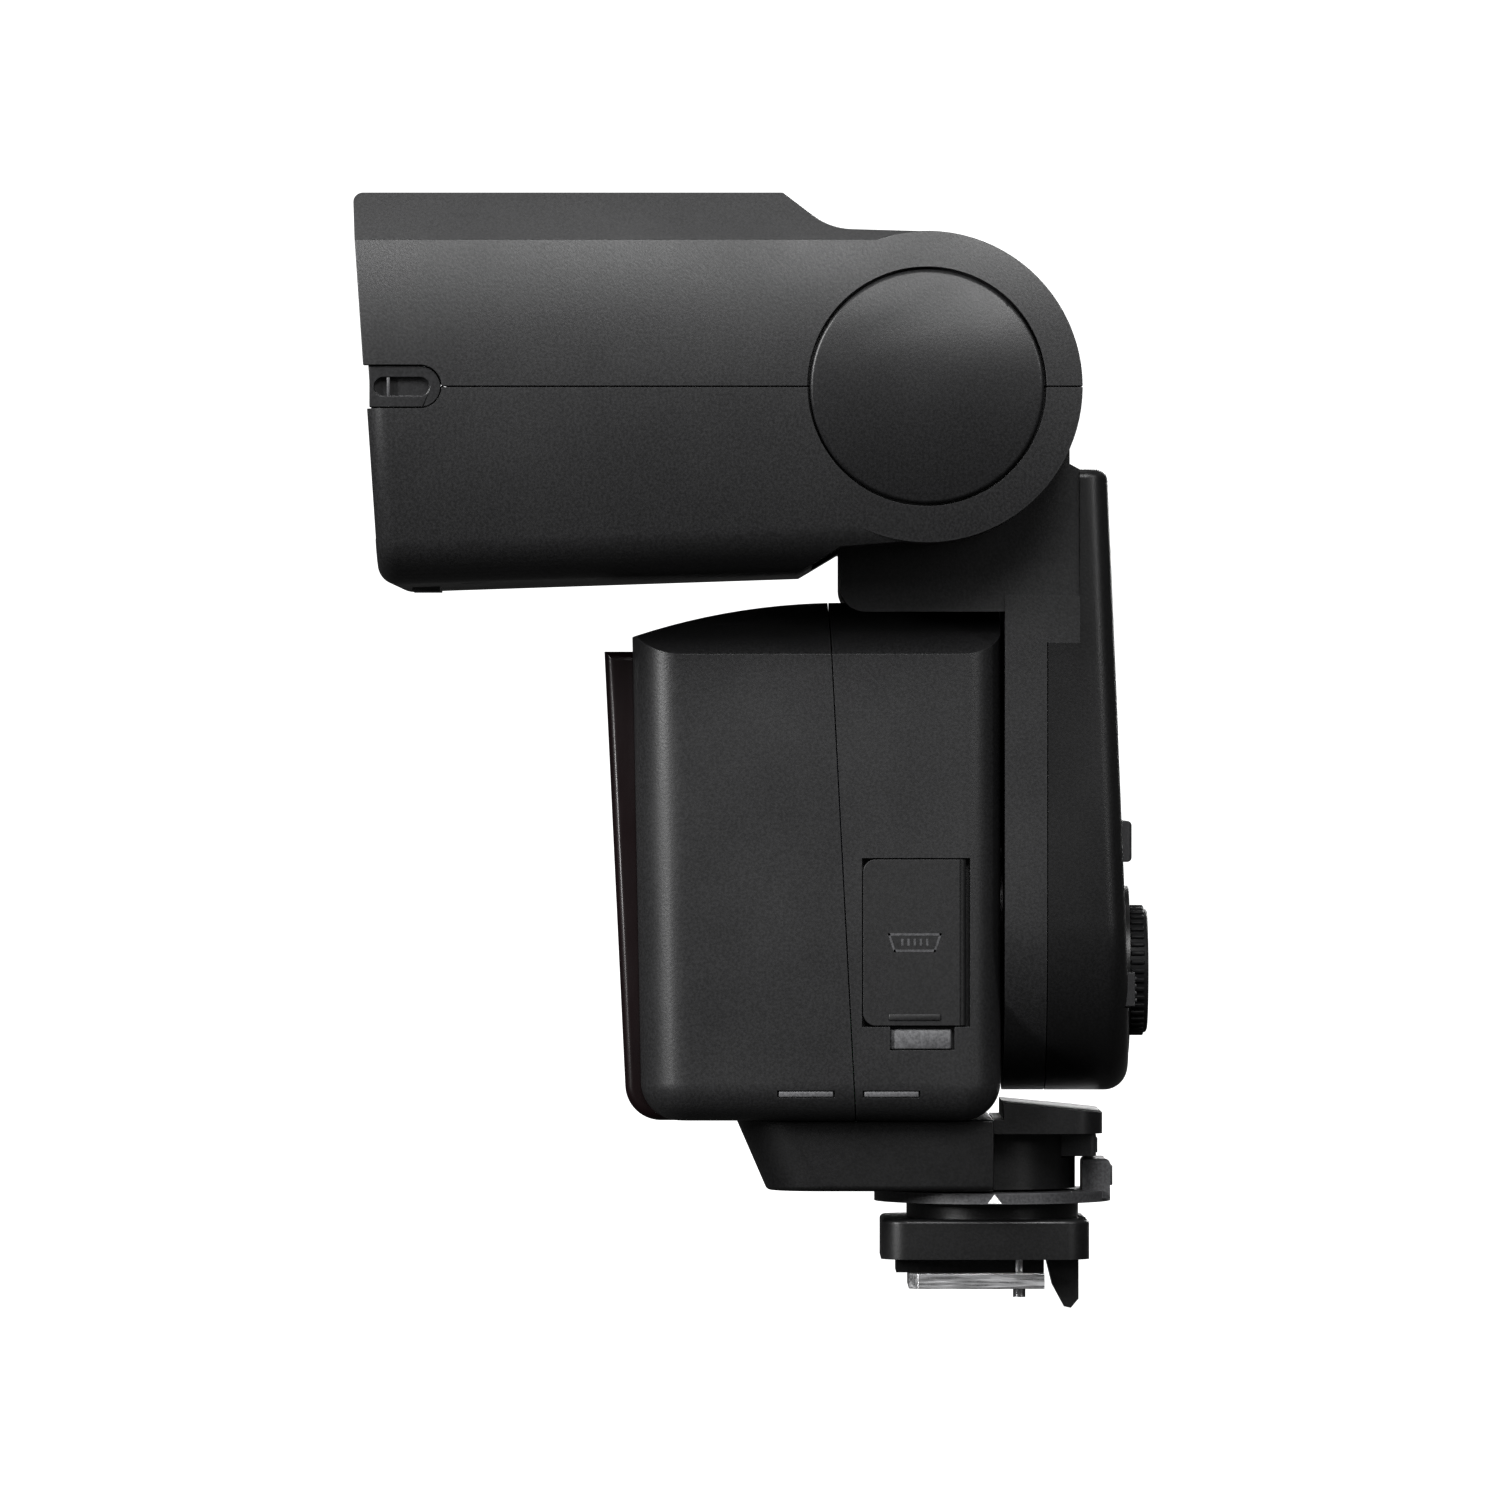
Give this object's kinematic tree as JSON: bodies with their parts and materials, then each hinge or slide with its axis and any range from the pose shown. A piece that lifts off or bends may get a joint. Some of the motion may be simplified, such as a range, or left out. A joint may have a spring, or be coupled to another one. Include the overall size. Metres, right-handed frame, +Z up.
{
  "type": "speedlight flash",
  "caption": "Hot-shoe camera flash: zooming lamp head that tilts and swings on a neck with a rear control panel, over a battery block with a locking shoe foot.",
  "frame": {"origin": "centre of the shoe plate's underside", "axes": "+Z up through the head, -Y the way the lamp points, +X towards the side with the terminal cover"},
  "size_m": [0.0782, 0.1024, 0.1441],
  "materials": {
    "case": "fine textured black moulding",
    "cap": "fine textured black moulding",
    "trim": "satin black moulding",
    "inner": "plain black moulding",
    "lens": "clear ribbed acrylic",
    "diffuser": "frosted acrylic",
    "card": "white sheet",
    "mirror": "bright rolled aluminium",
    "tube": "clear quartz",
    "silicone": "white silicone",
    "steel": "turned steel",
    "motor": "plated can",
    "screw": "black oxide",
    "window": "clear over smoked",
    "display": "liquid crystal module",
    "board": "solder resist",
    "key": "satin elastomer",
    "dial": "satin black, ribbed rim",
    "red_window": "deep red filter, almost black",
    "cell": "printed sleeve, no lettering",
    "contact": "plated contact",
    "capacitor": "shrink sleeve",
    "cover": "soft black cover",
    "lever": "satin dark grey",
    "shoe": "stamped steel"
  },
  "bodies": {
    "block": {"block_front_shell": "case", "block_rear_shell": "case", "front_window": "red_window", "battery_cage": "inner", "battery_cells": "cell", "battery_contacts": "contact", "flash_capacitors": "capacitor", "power_board": "board", "door_hinge_pin": "steel", "terminal_socket": "trim", "pedestal": "case", "foot_rear_cover": "case", "foot_block": "case", "shoe_plate": "shoe"},
    "door": {"battery_door": "case"},
    "latch": {"door_latch": "trim"},
    "flap": {"terminal_cover": "cover"},
    "release": {"release_button": "key"},
    "lever": {"lock_lever": "lever"},
    "lock_pin": {"lock_pin": "steel"},
    "contact": {"spring_contact": "contact"},
    "neck": {"neck_shell": "case", "tilt_axle": "steel", "tilt_detent_disc": "steel", "panel_rear_shell": "case", "display_window": "window", "display_module": "display", "control_board": "board", "swing_shaft": "steel", "swing_retainer": "steel"},
    "function_key": {"function_key": "key"},
    "light_key": {"light_key": "key"},
    "mode_key": {"mode_key": "key"},
    "test_key": {"test_key": "key"},
    "dial": {"control_dial": "dial"},
    "dial_key": {"dial_key": "key"},
    "power_switch": {"power_switch": "key"},
    "head": {"head_upper_shell": "case", "head_lower_shell": "case", "pivot_cap_right": "cap", "pivot_cap_left": "cap", "accessory_socket_right": "trim", "accessory_socket_left": "trim", "lens_bezel": "trim", "fresnel_lens": "lens", "card_tray": "inner", "guide_rods": "steel", "zoom_motor": "motor", "head_screws": "screw"},
    "wide_panel": {"wide_panel": "diffuser"},
    "bounce_card": {"bounce_card": "card"},
    "zoom": {"reflector": "mirror", "xenon_tube": "tube", "tube_boots": "silicone", "zoom_carriage": "inner"},
    "lead_screw": {"lead_screw": "steel"}
  },
  "joints": [
    {"name": "head_swing", "type": "hinge", "parent": "block", "child": "neck", "pos_m": [0, 0, 0.0481], "axis": [0, 1, 0], "range_deg": [-90, 90]},
    {"name": "head_tilt", "type": "hinge", "parent": "neck", "child": "head", "pos_m": [0, -0.0072, 0.1161], "axis": [-1, 0, 0], "range_deg": [-8, 150]},
    {"name": "wide_panel_slide", "type": "slide", "parent": "head", "child": "wide_panel", "axis": [0, -1, 0], "range_m": [0, 0.038]},
    {"name": "bounce_card_slide", "type": "slide", "parent": "head", "child": "bounce_card", "axis": [0, -1, 0], "range_m": [0, 0.038]},
    {"name": "zoom_slide", "type": "slide", "parent": "head", "child": "zoom", "axis": [0, -1, 0], "range_m": [0, 0.016]},
    {"name": "lead_screw_turn", "type": "hinge", "parent": "head", "child": "lead_screw", "pos_m": [0, -0.045, 0.09832], "axis": [0, 1, 0], "range_deg": [0, 721]},
    {"name": "function_key_press", "type": "slide", "parent": "neck", "child": "function_key", "axis": [0, -1, 0], "range_m": [0, 0.0008], "stiffness_N_per_m": 250, "springref_m": -0.001},
    {"name": "light_key_press", "type": "slide", "parent": "neck", "child": "light_key", "axis": [0, -1, 0], "range_m": [0, 0.0008], "stiffness_N_per_m": 250, "springref_m": -0.001},
    {"name": "mode_key_press", "type": "slide", "parent": "neck", "child": "mode_key", "axis": [0, -1, 0], "range_m": [0, 0.0008], "stiffness_N_per_m": 250, "springref_m": -0.001},
    {"name": "test_key_press", "type": "slide", "parent": "neck", "child": "test_key", "axis": [0, -1, 0], "range_m": [0, 0.0008], "stiffness_N_per_m": 250, "springref_m": -0.001},
    {"name": "dial_turn", "type": "hinge", "parent": "neck", "child": "dial", "pos_m": [0, 0.0205, 0.0412], "axis": [0, 1, 0], "continuous": true},
    {"name": "dial_key_press", "type": "slide", "parent": "neck", "child": "dial_key", "axis": [0, -1, 0], "range_m": [0, 0.0006], "stiffness_N_per_m": 250, "springref_m": -0.001},
    {"name": "power_switch_slide", "type": "slide", "parent": "neck", "child": "power_switch", "axis": [0, 0, 1], "range_m": [0, 0.0042]},
    {"name": "terminal_cover_hinge", "type": "hinge", "parent": "block", "child": "flap", "pos_m": [0.0219, -0.0027, 0.045], "axis": [0, 0, 1], "range_deg": [0, 110]},
    {"name": "battery_door_hinge", "type": "hinge", "parent": "block", "child": "door", "pos_m": [-0.0217, -0.0357, 0.052], "axis": [0, 0, 1], "range_deg": [0, 100]},
    {"name": "door_latch_slide", "type": "slide", "parent": "door", "child": "latch", "axis": [0, 0, 1], "range_m": [0, 0.0032]},
    {"name": "release_button_press", "type": "slide", "parent": "block", "child": "release", "axis": [0, -1, 0], "range_m": [0, 0.002], "stiffness_N_per_m": 400, "springref_m": -0.002},
    {"name": "lock_lever_turn", "type": "hinge", "parent": "block", "child": "lever", "pos_m": [0, 0.0019, 0.012], "axis": [0, 0, 1], "range_deg": [0, 50]},
    {"name": "lock_pin_lift", "type": "slide", "parent": "block", "child": "lock_pin", "axis": [0, 0, 1], "range_m": [0, 0.0012]},
    {"name": "contact_press", "type": "slide", "parent": "block", "child": "contact", "axis": [0, 0, 1], "range_m": [0, 0.0004], "stiffness_N_per_m": 300, "springref_m": -0.0005}
  ],
  "couplings": [
    {"joint": "lead_screw_turn", "follows": "zoom_slide", "rad_per_m": 785},
    {"joint": "lock_pin_lift", "follows": "lock_lever_turn", "m_per_rad": 0.00137}
  ]
}
